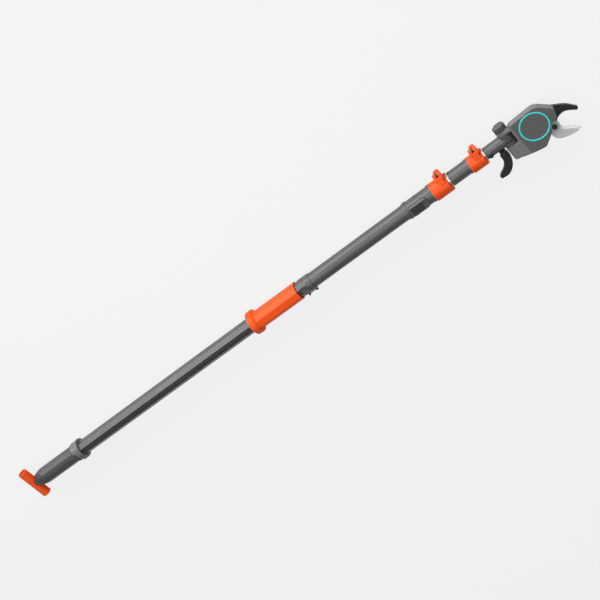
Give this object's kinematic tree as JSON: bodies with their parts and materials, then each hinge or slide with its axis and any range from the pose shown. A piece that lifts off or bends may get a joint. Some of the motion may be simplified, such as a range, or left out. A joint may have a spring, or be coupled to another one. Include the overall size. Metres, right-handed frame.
{
  "type": "tree pruner pole",
  "caption": "Telescopic pruner on a pole: sliding grip and T-handle pull a cord that shuts the blade of a tilting head against a fixed jaw.",
  "frame": {"origin": "centre of the T-handle's bore, on the pole's axis at its bottom end", "axes": "+X up the pole towards the head, +Y towards the hinge knob and the clamp hinges, +Z out of the face of the head"},
  "size_m": [1.9017, 0.1464, 0.0688],
  "materials": {
    "grey_plastic": "fine moulded texture",
    "head_plastic": "satin moulding",
    "face_plastic": "fine texture",
    "orange_plastic": "satin moulding",
    "turquoise_plastic": "gloss",
    "black_plastic": "matt",
    "coated_tube": "matt powder coat",
    "bare_tube": "drawn",
    "black_steel": "black coat",
    "blade_steel": "ground",
    "zinc_steel": "zinc plated",
    "gear_steel": "pressed",
    "spring_steel": "blued",
    "bearing_plastic": "smooth",
    "cord_fibre": "braided"
  },
  "bodies": {
    "lower_pole": {"profile_tube": "coated_tube", "channel_strip": "grey_plastic", "foot_shell": "grey_plastic", "ring_pin": "zinc_steel", "junction_collar": "grey_plastic", "junction_pins": "zinc_steel", "main_tube": "coated_tube", "connector": "grey_plastic", "connector_screws": "black_steel", "lower_clamp_band": "orange_plastic", "lower_clamp_bolt": "black_steel", "return_cord": "cord_fibre"},
    "tee": {"tee_handle": "orange_plastic", "pull_rod": "zinc_steel", "tee_pins": "zinc_steel", "tee_cord": "cord_fibre"},
    "foot_wheel": {"foot_pulley": "bearing_plastic"},
    "ring": {"lock_ring": "grey_plastic"},
    "grip": {"grip_shell": "orange_plastic", "grip_bushes": "bearing_plastic", "grip_carriage": "bearing_plastic", "grip_cord": "cord_fibre"},
    "turn_wheel": {"junction_pulley": "bearing_plastic"},
    "latch": {"latch_slider": "black_plastic"},
    "lower_lever": {"lower_clamp_lever": "orange_plastic", "lower_clamp_pin": "black_steel"},
    "middle_pole": {"middle_tube": "bare_tube", "middle_glide": "bearing_plastic", "middle_sleeve": "grey_plastic", "sleeve_screws": "black_steel", "upper_clamp_band": "orange_plastic", "upper_clamp_bolt": "black_steel"},
    "upper_lever": {"upper_clamp_lever": "orange_plastic", "upper_clamp_pin": "black_steel"},
    "upper_pole": {"upper_tube": "bare_tube", "upper_glide": "bearing_plastic", "neck": "grey_plastic", "neck_screw": "black_steel", "branch_hook": "black_plastic", "hook_screw": "black_steel", "upper_cord": "cord_fibre"},
    "hinge_wheel": {"hinge_roller": "bearing_plastic"},
    "head": {"head_frame": "head_plastic", "head_cover": "head_plastic", "face_panel": "face_plastic", "face_ring": "turquoise_plastic", "fixed_jaw": "black_steel", "head_screws": "zinc_steel", "pivot_bolt": "black_steel", "hinge_bolt": "zinc_steel", "hinge_washers": "bearing_plastic", "drum_bushes": "bearing_plastic", "head_cord": "cord_fibre"},
    "knob": {"hinge_knob": "grey_plastic"},
    "blade": {"cutting_blade": "blade_steel", "sector_gear": "gear_steel", "blade_rivets": "zinc_steel"},
    "drum": {"cord_drum": "bearing_plastic", "cord_winding": "cord_fibre", "return_spring": "spring_steel"}
  },
  "joints": [
    {"name": "grip_slide", "type": "slide", "parent": "lower_pole", "child": "grip", "axis": [-1, 0, 0], "range_m": [0, 0.22], "stiffness_N_per_m": 20},
    {"name": "tee_pull", "type": "slide", "parent": "lower_pole", "child": "tee", "axis": [-1, 0, 0], "range_m": [0, 0.11], "stiffness_N_per_m": 20},
    {"name": "foot_wheel_spin", "type": "hinge", "parent": "tee", "child": "foot_wheel", "pos_m": [0.175, -0.0053, 0.01358], "axis": [0, 1, 0], "range_deg": [0, 1800]},
    {"name": "ring_turn", "type": "hinge", "parent": "lower_pole", "child": "ring", "pos_m": [0.198, 0, 0], "axis": [-1, 0, 0], "range_deg": [0, 35]},
    {"name": "turn_wheel_spin", "type": "hinge", "parent": "lower_pole", "child": "turn_wheel", "pos_m": [1.06, 0, 0.02065], "axis": [0, 0, 1], "range_deg": [0, 2400]},
    {"name": "latch_slide", "type": "slide", "parent": "lower_pole", "child": "latch", "axis": [1, 0, 0], "range_m": [0, 0.008], "stiffness_N_per_m": 250},
    {"name": "lower_lever_flip", "type": "hinge", "parent": "lower_pole", "child": "lower_lever", "pos_m": [1.5238, 0.03793, 0.01398], "axis": [-1, 0, 0], "range_deg": [0, 110]},
    {"name": "middle_extend", "type": "slide", "parent": "lower_pole", "child": "middle_pole", "axis": [1, 0, 0], "range_m": [0, 1.1]},
    {"name": "upper_lever_flip", "type": "hinge", "parent": "middle_pole", "child": "upper_lever", "pos_m": [1.6308, 0.03533, 0.01398], "axis": [-1, 0, 0], "range_deg": [0, 110]},
    {"name": "upper_extend", "type": "slide", "parent": "middle_pole", "child": "upper_pole", "axis": [1, 0, 0], "range_m": [0, 1.1]},
    {"name": "hinge_wheel_spin", "type": "hinge", "parent": "upper_pole", "child": "hinge_wheel", "pos_m": [1.712, -0.0053, 0], "axis": [0, -1, 0], "range_deg": [0, 1960]},
    {"name": "head_tilt", "type": "hinge", "parent": "upper_pole", "child": "head", "pos_m": [1.712, 0, 0], "axis": [0, 1, 0], "range_deg": [-90, 90]},
    {"name": "knob_turn", "type": "hinge", "parent": "head", "child": "knob", "pos_m": [1.712, 0.035, 0], "axis": [0, 1, 0], "range_deg": [0, 180]},
    {"name": "blade_swing", "type": "hinge", "parent": "head", "child": "blade", "pos_m": [1.817, -0.047, 0], "axis": [0, 0, 1], "range_deg": [0, 58.2]},
    {"name": "drum_spin", "type": "hinge", "parent": "head", "child": "drum", "pos_m": [1.78234, -0.00797, 0], "axis": [0, 0, -1], "range_deg": [0, 505]}
  ],
  "couplings": [
    {"joint": "foot_wheel_spin", "follows": "grip_slide", "rad_per_m": 141.34},
    {"joint": "turn_wheel_spin", "follows": "grip_slide", "rad_per_m": 188.68},
    {"joint": "hinge_wheel_spin", "follows": "grip_slide", "rad_per_m": 153.85},
    {"joint": "drum_spin", "follows": "grip_slide", "rad_per_m": 39.878},
    {"joint": "blade_swing", "follows": "grip_slide", "rad_per_m": 4.6013}
  ]
}
